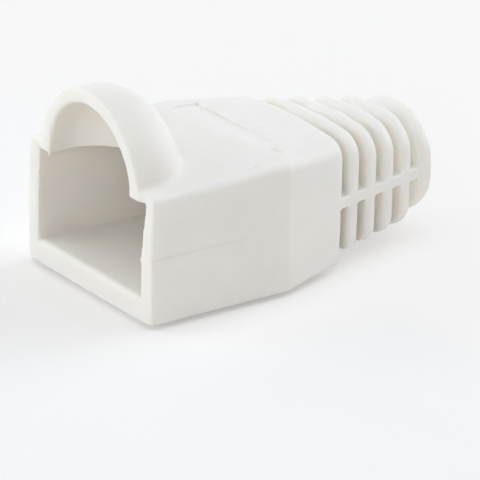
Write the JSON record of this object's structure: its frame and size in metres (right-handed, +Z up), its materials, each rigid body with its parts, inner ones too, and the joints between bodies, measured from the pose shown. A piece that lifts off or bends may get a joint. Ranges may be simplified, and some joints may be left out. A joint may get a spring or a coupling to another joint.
{
  "type": "rj45 strain relief boot",
  "caption": "Moulded sleeve that slides over the rear of a modular network plug, with a domed latch hood and a ribbed, tapering cable tail.",
  "frame": {"origin": "middle of the boot's bounding box across and along, at the flat underside of the sleeve", "axes": "+X across the boot, to the right seen from the plug mouth's side towards the tail; +Y from the plug mouth towards the cable end; +Z up, out of the plate that carries the latch hood"},
  "size_m": [0.0142, 0.0242, 0.0133],
  "materials": {
    "moulded_pvc": "soft satin, off-white flexible PVC"
  },
  "bodies": {
    "root": {"boot": "moulded_pvc"}
  },
  "joints": []
}
